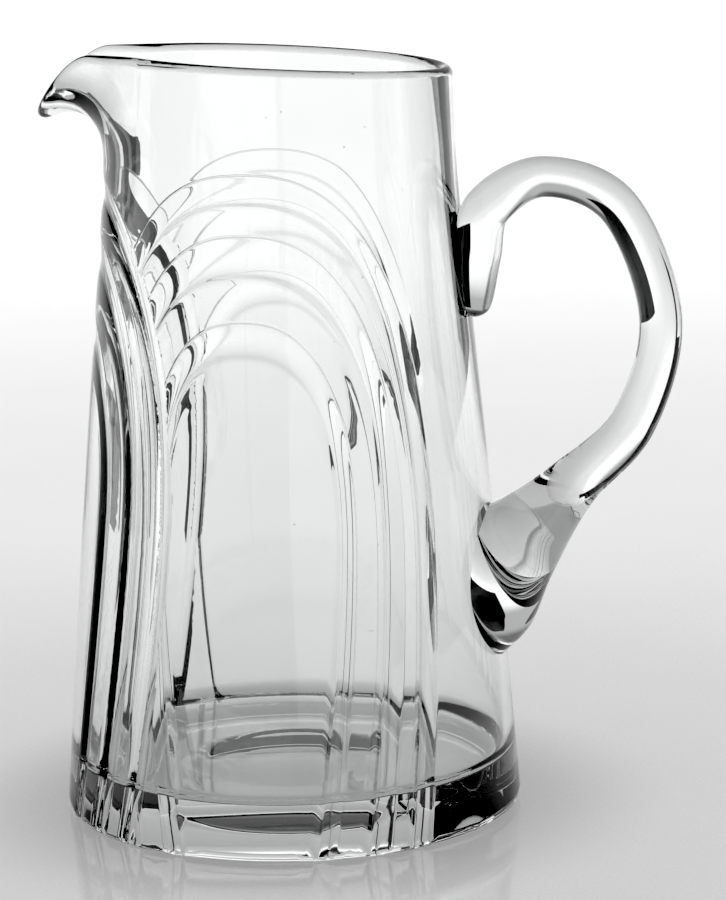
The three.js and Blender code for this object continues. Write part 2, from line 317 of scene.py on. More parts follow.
def wall_thickness(v, z):
    """Thickness of the wall at a height, growing towards the rim."""
    return mix(v.wall, v.rim_wall, smoothstep(z, v.rim_height - v.lip_length, v.rim_height))


def panels(v):
    """The three panels of arches."""
    lip = math.pi + v.lip_turn
    return (
        Panel(FRONT, 0, 0, 0, v.crown_fade),
        Panel(2 * lip - FRONT, 0, 0, 0, v.crown_fade),
        Panel(lip, v.lip_extra, v.lip_drop, v.lip_crown, 1),
    )


def leg_draw(v, z):
    """How far the legs of the arches have drawn in at a height."""
    return v.leg_draw * (np.clip(v.arch_spring - z, 0, None) / v.arch_spring) ** LEG_BEND


def arch_share(v, turn, z, arch, panel):
    """0 on the inner edge of an arch, 1 where its scoop starts, past 1 outside, found by Newton's method."""
    share = np.zeros_like(z)
    up = np.clip(z - v.arch_spring, 0, None)
    out = np.abs(wrapped(turn - panel.middle)) + leg_draw(v, z)
    half_grow = arch.start - arch.ledge
    rise_grow = arch.ledge_drop - arch.start_drop
    for _ in range(NEWTON_STEPS):
        half = arch.ledge + panel.extra + half_grow * share
        rise = v.rim_height - arch.ledge_drop - panel.drop - v.arch_spring + rise_grow * share
        across = (out / half) ** v.arch_power
        lift = (up / rise) ** v.arch_power
        total = np.maximum(across + lift, TINY)
        size = total ** (1 / v.arch_power)
        slope = (across * half_grow / half + lift * rise_grow / rise) / (size * total)
        share = np.clip(share - (1 / size - 1) / np.maximum(slope, TINY), *SHARE_LIMITS)
    return share


def cut_depth(v, share, z, arch, panel):
    """Depth across an arch: scoop, crease and rounded ledge in its legs, a faint groove at its crown."""
    scoop = np.clip((share - ROOT_SHARE) / (1 - ROOT_SHARE), 0, None)
    ledge = share / ROOT_SHARE
    leg = soft_min(arch.depth * (1 - scoop * scoop), arch.depth * ledge * np.abs(ledge), ROOT_ROUND)
    leg = soft_max(leg, 0, BROW_ROUND)
    groove = v.groove * smoothstep(share, *GROOVE_ROOT) * (1 - smoothstep(share, *GROOVE_START))
    groove = groove + v.line * (1 - smoothstep(np.abs(share - 1), 0, LINE_HALF))
    apex = v.rim_height - panel.drop - arch.ledge_drop
    low = smoothstep(apex - z, 0, min(panel.fade * arch.slow, 1) * (apex - v.arch_spring))
    return mix(groove, leg, mix(panel.crown, 1, low))


def relief(v, turn, z):
    """Depth of all the cuts at places on the wall. The panel under the lip lies over the two beside it."""
    front, back, lip = panels(v)
    beside = np.zeros_like(z)
    for panel in (front, back):
        for arch in ARCHES:
            share = arch_share(v, turn, z, arch, panel)
            beside = np.maximum(beside, cut_depth(v, share, z, arch, panel))
    shares = [arch_share(v, turn, z, arch, lip) for arch in ARCHES]
    under_lip = np.maximum.reduce([cut_depth(v, share, z, arch, lip) for share, arch in zip(shares, ARCHES)])
    return np.where(shares[0] > ROOT_SHARE, np.maximum(beside, under_lip), under_lip)


def lip_roll(v, run):
    """Reach, height and turn of the rolled lip's middle line after lengths of wall."""
    whole = v.lip_length + v.rim_rise
    reach = np.zeros_like(run)
    height = np.zeros_like(run)
    for i in range(ROLL_STEPS):
        turn = v.lip_curl * smoothstep(run * (i + 0.5) / ROLL_STEPS, 0, whole)
        reach += np.sin(turn) * run / ROLL_STEPS
        height += np.cos(turn) * run / ROLL_STEPS
    return reach, height, v.lip_curl * smoothstep(run, 0, whole)


def lip_window(turn, half):
    """1 at the middle of the lip, falling to 0 at a half angle."""
    return np.where(np.abs(turn) < half, np.cos(math.pi * turn / (2 * half)) ** 2, 0)


def pull_lip(v, turn, r, z):
    """Raises the rim towards the lip, then rolls the lip outwards and down. Gives points in the frame."""
    root = v.rim_height - v.lip_length
    climb = np.clip(z - root, 0, None) / v.lip_length
    from_lip = wrapped(turn - math.pi - v.lip_turn)
    nearness = (1 - np.cos(turn + v.rim_turn)) / 2
    raised = z + v.rim_rise * climb * nearness ** v.rim_power
    offset = r - (outer_radius(v, z) - wall_thickness(v, z) / 2)
    reach, height, roll = lip_roll(v, (v.lip_length + v.rim_rise) * climb)
    rolled_r = outer_radius(v, root) - v.wall / 2 + reach + offset * np.cos(roll)
    rolled_z = root + height - offset * np.sin(roll)
    above = climb > 0
    new_r = np.where(above, mix(r, rolled_r, lip_window(from_lip, v.lip_flare)), r)
    new_z = np.where(above, mix(raised, rolled_z, lip_window(from_lip, v.lip_dip)), z)
    return np.stack([AXIS_X + new_r * np.cos(turn), AXIS_Y + new_r * np.sin(turn), new_z], axis=-1)


def outside_point(v, turn, run):
    """Points of the cut outside wall. Run is the height, carried on round the foot's edge below it."""
    below = np.clip((run - v.foot_edge) / v.foot_edge, -math.pi / 2, 0)
    z = np.where(run < v.foot_edge, v.foot_edge * (1 + np.sin(below)), run)
    wall = outer_radius(v, z)
    edge = outer_radius(v, v.foot_edge) - v.foot_edge * (1 - np.cos(below))
    plain = np.where(run < v.foot_edge, np.minimum(edge, wall), wall)
    cut = np.maximum(relief(v, turn, z) - (wall - plain), 0)
    return pull_lip(v, turn, plain - cut, z)


def inside_wobble(v, turn, z):
    """Slow unevenness of the inner wall, as blowing leaves it."""
    waves = [share * np.sin(count * turn + up * z + phase) for share, count, up, phase in WAVES]
    return v.wobble * sum(waves)


# Mesh of the vessel
def arch_line(v, arch, share, panel):
    """Points close together along one line of an arch, laid flat about its middle, from foot to foot."""
    half = mix(arch.ledge, arch.start, share) + panel.extra
    apex = v.rim_height - panel.drop - mix(arch.ledge_drop, arch.start_drop, share)
    sweep = np.linspace(0, math.pi / 2, CROWN_POINTS)
    crown_turn = half * np.sin(sweep) ** (2 / v.arch_power)
    crown_z = mix(v.arch_spring, apex, np.clip(np.cos(sweep), 0, 1) ** (2 / v.arch_power))
    leg_z = np.linspace(v.arch_spring, foot_run(v), LEG_POINTS)[1:]
    turns = np.concatenate([crown_turn, half - leg_draw(v, leg_z)])
    right = np.stack([turns * MEAN_RADIUS, np.concatenate([crown_z, leg_z])], axis=1)
    return np.concatenate([right[:0:-1] * (-1, 1), right])


def evenly_along(line, step):
    """Points about a step apart along a line."""
    gone = np.concatenate([[0], np.cumsum(np.linalg.norm(np.diff(line, axis=0), axis=1))])
    even = np.linspace(0, gone[-1], int(gone[-1] / step) + 1)
    return np.stack([np.interp(even, gone, line[:, i]) for i in range(2)], axis=1)


def nearest_along(line, points):
    """The place on a line that is nearest to each point."""
    step = np.diff(line, axis=0)
    share = ((points[:, None] - line[:-1]) * step).sum(axis=2) / (step * step).sum(axis=1)
    near = line[:-1] + np.clip(share, 0, 1)[..., None] * step
    gap = np.linalg.norm(points[:, None] - near, axis=2)
    return near[np.arange(len(points)), gap.argmin(axis=1)]


def arch_places(v, panel, arch):
    """Points of an arch's lines as (turn, height), each square beside its neighbour on the next line."""
    rows = [evenly_along(arch_line(v, arch, ARCH_LINES[-1], panel), LINE_STEP)]
    for share in ARCH_LINES[-2::-1]:
        rows.append(nearest_along(arch_line(v, arch, share, panel), rows[-1]))
    return np.concatenate(rows) / (MEAN_RADIUS, 1) + (panel.middle, 0)


def foot_run(v):
    """Run of the inner edge of the foot's rounding, below the height where the rounding starts."""
    return v.foot_edge * (1 - math.pi / 2)


def rim_base(v):
    """Height where the rim's rounding starts."""
    return v.rim_height - v.rim_wall / 2


def flattened(places):
    """(turn, run) places laid flat, in metres, from the seam round."""
    return np.stack([(places[:, 0] - SEAM_ANGLE) % (2 * math.pi) * MEAN_RADIUS, places[:, 1]], axis=1)


def keep_clear(points, others, distance):
    """Mask of the points that no other lies within a distance of."""
    tree = kd_tree(others)
    return np.array([tree.find((x, y, 0))[2] > distance for x, y in points], dtype=bool)


def kd_tree(points):
    """A search tree of flat points."""
    tree = KDTree(len(points))
    for i, (x, y) in enumerate(points):
        tree.insert((x, y, 0), i)
    tree.balance()
    return tree


def thinned(groups, distance):
    """Joins groups of points, leaving out those too near a point of an earlier group."""
    kept = groups[0]
    for group in groups[1:]:
        kept = np.concatenate([kept, group[keep_clear(group, kept, distance)]])
    return kept


def wall_places(v, seat_loops):
    """Flat points that the outside wall is meshed through: borders, handle seats, arches and a field."""
    span = 2 * math.pi * MEAN_RADIUS
    low, high = foot_run(v), rim_base(v)
    ring = np.arange(COLUMNS) / COLUMNS * span
    rows = np.linspace(low, high, int((high - low) / SEAM_STEP) + 1)[1:-1]
    borders = np.concatenate([
        np.stack([ring, np.full(COLUMNS, low)], axis=1),
        np.stack([ring, np.full(COLUMNS, high)], axis=1),
        np.stack([np.zeros_like(rows), rows], axis=1),
        [(span, low), (span, high)],
        np.stack([np.full_like(rows, span), rows], axis=1),
    ])
    front, back, lip = panels(v)
    groups = [borders, *seat_loops]
    for panel in (lip, front, back):
        places = np.concatenate([arch_places(v, panel, arch) for arch in ARCHES])
        if panel is not lip:
            places = places[arch_share(v, places[:, 0], places[:, 1], ARCHES[0], lip) > ROOT_SHARE]
        inside = (places[:, 1] > low + LINE_CLEAR) & (places[:, 1] < high - LINE_CLEAR)
        groups.append(flattened(places[inside]))
    crowded = thinned(groups, LINE_CLEAR)
    across, up = np.meshgrid(np.arange(0, span, FIELD_STEP), np.arange(low, high, FIELD_STEP))
    across = across + FIELD_STEP / 2 * (np.arange(len(up)) % 2)[:, None]
    field = np.stack([across.ravel(), up.ravel()], axis=1)
    field = field[(field[:, 0] < span - FIELD_CLEAR) & (field[:, 1] > low + FIELD_CLEAR)]
    return np.concatenate([crowded, field[keep_clear(field, crowded, FIELD_CLEAR)]])


def inside_polygon(points, loop):
    """Mask of flat points inside a closed loop."""
    x, y = points[:, 0], points[:, 1]
    hit = np.zeros(len(points), dtype=bool)
    for (x0, y0), (x1, y1) in zip(loop, np.roll(loop, -1, axis=0)):
        crosses = (y0 > y) != (y1 > y)
        if y0 != y1:
            hit ^= crosses & (x < (x1 - x0) * (y - y0) / (y1 - y0) + x0)
    return hit


def inner_rows(v):
    """Rows from the rim's rounding over and down inside to the middle of the floor, as (r, z)."""
    half = v.rim_wall / 2
    middle = outer_radius(v, rim_base(v)) - half
    over = np.linspace(0, math.pi, RIM_ROWS)[1:]
    top = [(middle + half * math.cos(a), rim_base(v) + half * math.sin(a)) for a in over]
    fillet_top = v.floor + v.floor_fillet
    heights = np.concatenate([
        np.linspace(rim_base(v), v.rim_height - v.lip_length, NECK_ROWS)[1:],
        np.linspace(v.rim_height - v.lip_length, fillet_top, WALL_ROWS)[1:],
    ])
    wall = [(outer_radius(v, z) - wall_thickness(v, z), z) for z in heights]
    centre = wall[-1][0] - v.floor_fillet
    bend = np.linspace(0, math.pi / 2, FILLET_ROWS)[1:]
    fillet = [
        (centre + v.floor_fillet * math.cos(a), fillet_top - v.floor_fillet * math.sin(a)) for a in bend
    ]
    floor = [(centre * s, v.floor) for s in np.linspace(1, 0, FLOOR_ROWS)[1:-1]]
    return [*top, *wall, *fillet, *floor]


def under_rows(v):
    """Rows of the underside from the foot's edge inwards, as (r, z)."""
    edge = outer_radius(v, v.foot_edge) - v.foot_edge
    ring = [(mix(edge, v.pontil_radius, s), 0.0) for s in np.linspace(0, 1, FOOT_ROWS)[1:]]
    sphere = (v.pontil_radius ** 2 + v.pontil_depth ** 2) / (2 * v.pontil_depth)
    hollow = [
        (v.pontil_radius * s, v.pontil_depth - sphere + math.sqrt(sphere ** 2 - (v.pontil_radius * s) ** 2))
        for s in np.linspace(1, 0, HOLLOW_ROWS)[1:-1]
    ]
    return [*ring, *hollow]


def vessel_mesh(v, seat_loops):
    """Corners, faces, normals of the outside wall and the faces that the handle is fused to."""
    flat_loops = [flattened(loop) for loop in seat_loops]
    places = wall_places(v, flat_loops)
    flat = [Vector(place) for place in places / MM]
    _, _, triangles, origins, _, _ = geometry.delaunay_2d_cdt(flat, [], [], 0, MESH_EPSILON)
    source = np.array([ids[0] for ids in origins])
    triangles = source[np.array(triangles)]
    centres = places[triangles].mean(axis=1)
    fused = np.zeros(len(triangles), dtype=bool)
    for loop in flat_loops:
        fused |= inside_polygon(centres, loop)
    seam_rows = int((rim_base(v) - foot_run(v)) / SEAM_STEP) - 1
    same = np.arange(len(places))
    right = 2 * COLUMNS + seam_rows
    same[right] = 0
    same[right + 1] = COLUMNS
    same[right + 2:right + 2 + seam_rows] = np.arange(2 * COLUMNS, 2 * COLUMNS + seam_rows)
    turns = places[:, 0] / MEAN_RADIUS + SEAM_ANGLE
    runs = places[:, 1]
    corners = outside_point(v, turns, runs)
    turn_step = NORMAL_STEP / MEAN_RADIUS
    along = outside_point(v, turns + turn_step, runs) - outside_point(v, turns - turn_step, runs)
    up = outside_point(v, turns, runs + NORMAL_STEP) - outside_point(v, turns, runs - NORMAL_STEP)
    normals = np.cross(along, up)
    normals /= np.linalg.norm(normals, axis=1)[:, None]
    return corners, same[triangles], normals, fused


def ring_faces(first, second):
    """Quads between two rings of corner numbers."""
    return np.stack([first, np.roll(first, -1), np.roll(second, -1), second], axis=1)


def build_vessel(v, seat_loops, glass, seam):
    """The vessel as a mesh object, closed all round."""
    corners, triangles, normals, fused = vessel_mesh(v, seat_loops)
    turns = np.arange(COLUMNS) / COLUMNS * 2 * math.pi + SEAM_ANGLE
    points = [corners]
    count = len(corners)
    faces = [triangles]

    def add_rows(first, rows, flip, centre, wobble):
        """Adds rings from a border inwards, then closes them on a middle point."""
        nonlocal count
        ring = first
        for r, z in rows:
            radius = np.full(COLUMNS, r)
            if wobble and z < rim_base(v):
                fade = smoothstep(v.rim_height - z, 0, 2 * v.lip_length) * smoothstep(z, v.floor, 3 * v.floor)
                radius = radius + inside_wobble(v, turns, z) * fade
            points.append(pull_lip(v, turns, radius, np.full(COLUMNS, z)))
            new = np.arange(count, count + COLUMNS)
            count += COLUMNS
            faces.append(ring_faces(ring, new)[:, ::flip])
            ring = new
        points.append(np.array([centre]))
        fan = np.stack([ring, np.roll(ring, -1), np.full(COLUMNS, count)], axis=1)
        faces.append(fan[:, ::flip])
        count += 1

    add_rows(np.arange(COLUMNS, 2 * COLUMNS), inner_rows(v), 1, (AXIS_X, AXIS_Y, v.floor), True)
    add_rows(np.arange(COLUMNS), under_rows(v), -1, (AXIS_X, AXIS_Y, v.pontil_depth), False)
    every = np.concatenate(points)
    used = np.unique(np.concatenate([f.ravel() for f in faces]))
    renumber = np.full(len(every), -1)
    renumber[used] = np.arange(len(used))
    polygons = [renumber[row].tolist() for block in faces for row in block]
    mesh = bpy.data.meshes.new("vessel_glass")
    mesh.from_pydata(every[used].tolist(), [], polygons)
    mesh.materials.append(glass)
    mesh.materials.append(seam)
    slots = np.zeros(len(mesh.polygons), dtype=np.int32)
    slots[:len(fused)] = fused
    mesh.polygons.foreach_set("material_index", slots)
    mesh.shade_smooth()
    shading = np.empty(len(used) * 3, dtype=np.float32)
    mesh.vertex_normals.foreach_get("vector", shading)
    shading = shading.reshape(-1, 3)
    on_wall = used[used < len(normals)]
    inner_wall = on_wall[2 * COLUMNS:]
    shading[renumber[inner_wall]] = normals[inner_wall]
    mesh.normals_split_custom_set_from_vertices(shading.tolist())
    return add_object("vessel_body", mesh)


def add_object(name, mesh):
    """An object at the origin that shows a mesh."""
    piece = bpy.data.objects.new(name, mesh)
    bpy.context.scene.collection.objects.link(piece)
    return piece


# Mesh of the handle
def smooth_curve(points, steps):
    """Points of a uniform Catmull-Rom curve through stations, and their tangents."""
    points = np.asarray(points, dtype=float)
    ends = np.concatenate([[2 * points[0] - points[1]], points, [2 * points[-1] - points[-2]]])
    at = np.linspace(0, len(points) - 1, steps + 1)
    first = np.minimum(at.astype(int), len(points) - 2)
    share = (at - first)[:, None]
    a, b, c, d = (ends[first + i] for i in range(4))
    start, stop = (c - a) / 2, (d - b) / 2
    cube = 2 * b - 2 * c + start + stop
    square = 3 * c - 3 * b - 2 * start - stop
    place = ((cube * share + square) * share + start) * share + b
    return place, (3 * cube * share + 2 * square) * share + start


def handle_rings(v, h):
    """Rings of corners round the handle, from its tail to its pad."""
    top = v.rim_height - h.drop
    middles, sizes = [], []
    for station in STATIONS:
        z = mix(h.foot, top, station.rise)
        scale = getattr(h, station.size)
        middles.append((outer_radius(v, z) + station.reach * h.reach, z))
        sizes.append((station.thick * scale, station.width * scale))
    path, tangent = smooth_curve(middles, HANDLE_STEPS)
    section, _ = smooth_curve(sizes, HANDLE_STEPS)
    tangent /= np.linalg.norm(tangent, axis=1)[:, None]
    along = np.linspace(0, 1, HANDLE_STEPS + 1)
    back = 1 - np.minimum(along / HANDLE_TIP, 1)
    section = section * (np.sqrt(1 - (TIP_SHARE * back) ** 2) / 2)[:, None]
    turn = np.arange(HANDLE_SIDES) / HANDLE_SIDES * 2 * math.pi
    out = section[:, :1] * np.cos(turn)
    x = AXIS_X + path[:, :1] + tangent[:, 1:] * out
    y = AXIS_Y + section[:, 1:] * np.sin(turn)
    z = path[:, 1:] - tangent[:, :1] * out
    return np.stack([x, y, z], axis=-1)


def loft_mesh(name, rings, materials):
    """A closed mesh through rings of corners, with flat ends."""
    rows, sides = rings.shape[:2]
    number = np.arange(rows * sides).reshape(rows, sides)
    quads = [ring_faces(number[i], number[i + 1]) for i in range(rows - 1)]
    faces = [face.tolist() for block in quads for face in block]
    faces.append(number[0, ::-1].tolist())
    faces.append(number[-1].tolist())
    mesh = bpy.data.meshes.new(name)
    mesh.from_pydata(rings.reshape(-1, 3).tolist(), [], faces)
    for material in materials:
        mesh.materials.append(material)
    return mesh


def seat_rings(v, gap):
    """Rings of the plain wall that the handle is cut to."""
    heights = np.linspace(v.foot_edge, v.rim_height - v.lip_length + SEAT_CLEAR, SEAT_ROWS)
    turn = np.arange(COLUMNS) / COLUMNS * 2 * math.pi
    radius = outer_radius(v, heights)[:, None] + gap
    x = AXIS_X + radius * np.cos(turn)
    y = AXIS_Y + radius * np.sin(turn)
    return np.stack([x, y, np.broadcast_to(heights[:, None], x.shape)], axis=-1)


def outward(mesh):
    """Turns a closed mesh's faces outwards."""
    work = bmesh.new()
    work.from_mesh(mesh)
    bmesh.ops.recalc_face_normals(work, faces=work.faces)
    work.to_mesh(mesh)
    work.free()


def build_handle(v, h, glass, seam):
    """The handle as a mesh object, cut to the wall, with its seat in the seam's material."""
    body = loft_mesh("handle_glass", handle_rings(v, h), (glass, seam))
    wall = loft_mesh("handle_seat", seat_rings(v, h.gap), (glass, seam))
    for mesh in (body, wall):
        outward(mesh)
    wall.polygons.foreach_set("material_index", np.ones(len(wall.polygons), dtype=np.int32))
    piece = add_object("handle_loop", body)
    cutter = add_object("handle_cutter", wall)
    cut = piece.modifiers.new("seat", "BOOLEAN")
    cut.operation = "DIFFERENCE"
    cut.solver = "EXACT"
    cut.object = cutter
    bpy.context.view_layer.update()
    mesh = bpy.data.meshes.new_from_object(piece.evaluated_get(bpy.context.evaluated_depsgraph_get()))
    piece.modifiers.clear()
    piece.data = mesh
    bpy.data.objects.remove(cutter)
    bpy.data.meshes.remove(wall)
    mesh.shade_smooth()
    mesh.set_sharp_from_angle(angle=SHARP_ANGLE)
    return piece


def seat_outlines(mesh):
    """The closed edges of the handle's seats, as (turn, height) places."""
    slots = [set() for _ in mesh.edges]
    by_key = {edge.key: edge.index for edge in mesh.edges}
    for polygon in mesh.polygons:
        for key in polygon.edge_keys:
            slots[by_key[key]].add(polygon.material_index)
    links = {}
    for edge in mesh.edges:
        if len(slots[edge.index]) == 2:
            a, b = edge.vertices
            links.setdefault(a, []).append(b)
            links.setdefault(b, []).append(a)
    loops = []
    while links:
        start = next(iter(links))
        loop, here, last = [start], links[start][0], start
        while here != start:
            loop.append(here)
            after = [n for n in links[here] if n != last]
            here, last = (after[0] if after else start), here
        for corner in loop:
            links.pop(corner, None)
        places = [mesh.vertices[i].co for i in loop]
        loops.append(np.array([(math.atan2(p.y - AXIS_Y, p.x - AXIS_X), p.z) for p in places]))
    return loops


# Shader maths
class Wire:
    """A node's output that takes Python arithmetic, adding a Math node for each step."""

    def __init__(self, nodes, socket):
        self.nodes, self.socket = nodes, socket

    def math(self, operation, *values):
        """The result of one Math node."""
        node = self.nodes.add("ShaderNodeMath", {"operation": operation}, dict(enumerate(values)))
        return Wire(self.nodes, node.outputs[0])

    def __add__(self, other):
        return self.math("ADD", self, other)

    def __sub__(self, other):
        return self.math("SUBTRACT", self, other)

    def __rsub__(self, other):
        return self.math("SUBTRACT", other, self)

    def __mul__(self, other):
        return self.math("MULTIPLY", self, other)

    def __truediv__(self, other):
        return self.math("DIVIDE", self, other)

    def step(self, low, high, start=0.0, stop=1.0):
        """Goes from start to stop in an even S as the value goes from low to high."""
        values = {"Value": self, "From Min": low, "From Max": high, "To Min": start, "To Max": stop}
        node = self.nodes.add("ShaderNodeMapRange", {"interpolation_type": "SMOOTHSTEP"}, values)
        return Wire(self.nodes, node.outputs[0])

    __radd__ = __add__
    __rmul__ = __mul__


class Nodes:
    """Adds nodes to one tree."""

    def __init__(self, tree):
        self.tree = tree
        tree.nodes.clear()

    def add(self, kind, settings=None, values=None):
        """A node with its settings, then the values or links of its sockets by name or number."""
        node = self.tree.nodes.new(kind)
        for name, value in (settings or {}).items():
            setattr(node, name, value)
        for name, value in (values or {}).items():
            if isinstance(value, Wire):
                self.tree.links.new(value.socket, node.inputs[name])
            else:
                node.inputs[name].default_value = value
        return node

    def wire(self, kind, settings=None, values=None, output=0):
        """The output of a new node."""
        return Wire(self, self.add(kind, settings, values).outputs[output])

    def mixed(self, share, first, second):
        """A colour that goes from the first to the second."""
        values = {0: share, 6: first, 7: second}
        return self.wire("ShaderNodeMix", {"data_type": "RGBA"}, values, 2)


def new_material(name):
    """A material with an empty node tree."""
    material = bpy.data.materials.new(name)
    material.use_nodes = True
    return material, Nodes(material.node_tree)


# Patterns of the glass: scales of its noises, then where each starts and ends
VESSEL_RIPPLE = 18.0
HANDLE_RIPPLE = 30.0
SMUDGE_SCALE = 24.0
SMUDGE_RANGE = (0.45, 0.75)
SPECK_SCALE = 130.0
SPECK_RANGE = (0.035, 0.05)
SPECK_ROUGHNESS = 0.2
SPARSE_SCALE = 46.0
SPARSE_RANGE = (0.56, 0.6)


def glass_material(name, look, ripple_scale):
    """Clear blown glass: a slow ripple, faint smudges and a few specks of dust and wear."""
    material, nodes = new_material(name)
    place = nodes.wire("ShaderNodeTexCoord", output=3)
    ripple = nodes.wire("ShaderNodeTexNoise", values={"Vector": place, "Scale": ripple_scale, "Detail": 1.0})
    smudge = nodes.wire("ShaderNodeTexNoise", values={"Vector": place, "Scale": SMUDGE_SCALE, "Detail": 3.0})
    dots = nodes.wire("ShaderNodeTexVoronoi", values={"Vector": place, "Scale": SPECK_SCALE})
    sparse = nodes.wire("ShaderNodeTexNoise", values={"Vector": place, "Scale": SPARSE_SCALE, "Detail": 0.0})
    speck = dots.step(*SPECK_RANGE, 1.0, 0.0) * sparse.step(*SPARSE_RANGE)
    bump = nodes.wire("ShaderNodeBump", values={"Strength": 1.0, "Distance": look.ripple, "Height": ripple})
    tint = nodes.mixed(speck, (*look.tint, 1), (*look.speck, 1))
    roughness = smudge.step(*SMUDGE_RANGE) * look.polish + speck * SPECK_ROUGHNESS
    shader = nodes.wire("ShaderNodeBsdfPrincipled", values={
        "Base Color": tint,
        "Roughness": roughness,
        "Normal": bump,
        "IOR": look.index,
        "Transmission Weight": 1.0,
    })
    nodes.add("ShaderNodeOutputMaterial", values={"Surface": shader})
    return material


def seam_material():
    """The fused seam between handle and wall, where the two glasses are one and nothing shows."""
    material, nodes = new_material("fused_seam")
    clear = nodes.wire("ShaderNodeBsdfTransparent")
    nodes.add("ShaderNodeOutputMaterial", values={"Surface": clear})
    return material


# Stage
SENSOR = 36
CLIP_END = 50
WINDOW_EDGE = math.radians(8)
HORIZON = (math.radians(3), math.radians(10))
SKY_TOP = (math.radians(36), math.radians(46))
CARD_STEPS = 25
FLOOR_GAP = 0.05 * MM
FLOOR_SIDES = 96
FLOOR_RINGS = 25
FLOOR_SPREAD = 1.5
FLOOR_PAINT = (0.55, 0.55, 0.55, 1)
FLOOR_ROUGHNESS = 0.07
# Spans over which the floor's glow is dimmed near the vessel: a painted contact shadow under the foot, and a
# wider painted shade round it.
FOOT_SHADE = (58 * MM, 125 * MM)
NEAR_SHADE_SPAN = (60 * MM, 450 * MM)
NOISE_RANGE = (0.3, 0.7)
GRAIN_SCALE = 900.0
GRAIN_TONE = (0.97, 1.02)
CLOUD_SCALE = 9.0
CLOUD_TONE = (0.985, 1.01)
BLACK = (0, 0, 0, 1)
WHITE = (1, 1, 1, 1)


@dataclass(frozen=True)
class Window:
    """A bright window: middle from +Y round towards -X, half width and top in degrees, and its light."""

    middle: float
    half: float
    top: float
    light: float


@dataclass(frozen=True)
class Card:
    """A dark card: degrees from +Y round towards -X, whether it stands far out, and its lower edge."""

    first: float
    last: float
    far: bool = False
    low: float = 0.0


WINDOWS = (
    Window(5, 31, 30, 0.45),
    Window(45, 10, 40, 0.45),
    Window(90, 10, 12, 0.6),
    Window(224, 22, 30, 0.45),
)
CARDS = (
    Card(26, 33),
    Card(36, 54, low=110 * MM),
    Card(36, 54, far=True),
    Card(54, 78),
    Card(78, 83, far=True),
    Card(97, 102, far=True),
    Card(102, 194),
    Card(256, 300),
    Card(300, 350, far=True),
)


def floor_material(stage):
    """A pale polished floor that glows and fades into the backdrop. Its glow is dimmed by painted shade under
    and round the foot.
    """
    material, nodes = new_material("pale_floor")
    place = nodes.wire("ShaderNodeTexCoord", output=3)
    split = nodes.add("ShaderNodeSeparateXYZ", values={0: place})
    x = Wire(nodes, split.outputs[0]) - AXIS_X
    y = Wire(nodes, split.outputs[1]) - AXIS_Y
    away = x.math("SQRT", x * x + y * y)
    grain = nodes.wire("ShaderNodeTexNoise", values={"Vector": place, "Scale": GRAIN_SCALE, "Detail": 2.0})
    cloud = nodes.wire("ShaderNodeTexNoise", values={"Vector": place, "Scale": CLOUD_SCALE, "Detail": 2.0})
    tone = grain.step(*NOISE_RANGE, *GRAIN_TONE) * cloud.step(*NOISE_RANGE, *CLOUD_TONE)
    pale = nodes.mixed(tone, BLACK, FLOOR_PAINT)
    # Painted shade: the floor's glow is darker under the foot and round it, standing in for the vessel's
    # contact shadow.
    shade = away.step(*FOOT_SHADE, stage.foot_shade, 1.0) * away.step(*NEAR_SHADE_SPAN, stage.near_painted_shade, 1.0)
    glow_with_painted_shade = nodes.mixed(tone * shade, BLACK, WHITE)
    surface = nodes.wire("ShaderNodeBsdfPrincipled", values={
        "Base Color": pale,
        "Roughness": FLOOR_ROUGHNESS,
        "IOR": stage.floor_index,
        "Emission Color": glow_with_painted_shade,
        "Emission Strength": stage.floor_glow,
    })
    fade = away.step(stage.floor_clear, stage.floor_end)
    clear = nodes.wire("ShaderNodeBsdfTransparent")
    both = nodes.wire("ShaderNodeMixShader", values={0: fade, 1: surface, 2: clear})
    nodes.add("ShaderNodeOutputMaterial", values={"Surface": both})
    return material


def build_world(stage):
    """A bright backdrop all round up to the horizon, and bright windows above it in a darker room."""
    world = bpy.data.worlds.new("studio")
    world.use_nodes = True
    bpy.context.scene.world = world
    nodes = Nodes(world.node_tree)
    direction = nodes.wire("ShaderNodeTexCoord", output=0)
    split = nodes.add("ShaderNodeSeparateXYZ", values={0: direction})
    x, y, z = (Wire(nodes, split.outputs[i]) for i in range(3))
    height = z.math("ARCSINE", z)
    compass = x.math("ARCTAN2", x * -1.0, y)
    light = height.step(*HORIZON, 1.0, stage.sky) * height.step(*SKY_TOP, 1.0, 0.0)
    for window in WINDOWS:
        middle, half, top = (math.radians(value) for value in (window.middle, window.half, window.top))
        off = compass - middle
        off = off.math("ABSOLUTE", off.math("WRAP", off, -math.pi, math.pi))
        across = off.step(half - WINDOW_EDGE, half + WINDOW_EDGE, 1.0, 0.0)
        below = height.step(top - WINDOW_EDGE, top + WINDOW_EDGE, 1.0, 0.0)
        up = height.step(*HORIZON, 1.0, window.light) * below
        light = light.math("MAXIMUM", light, across * up)
    strength = light * stage.backdrop + stage.dark
    shader = nodes.wire("ShaderNodeBackground", values={"Color": WHITE, "Strength": strength})
    nodes.add("ShaderNodeOutputWorld", values={"Surface": shader})


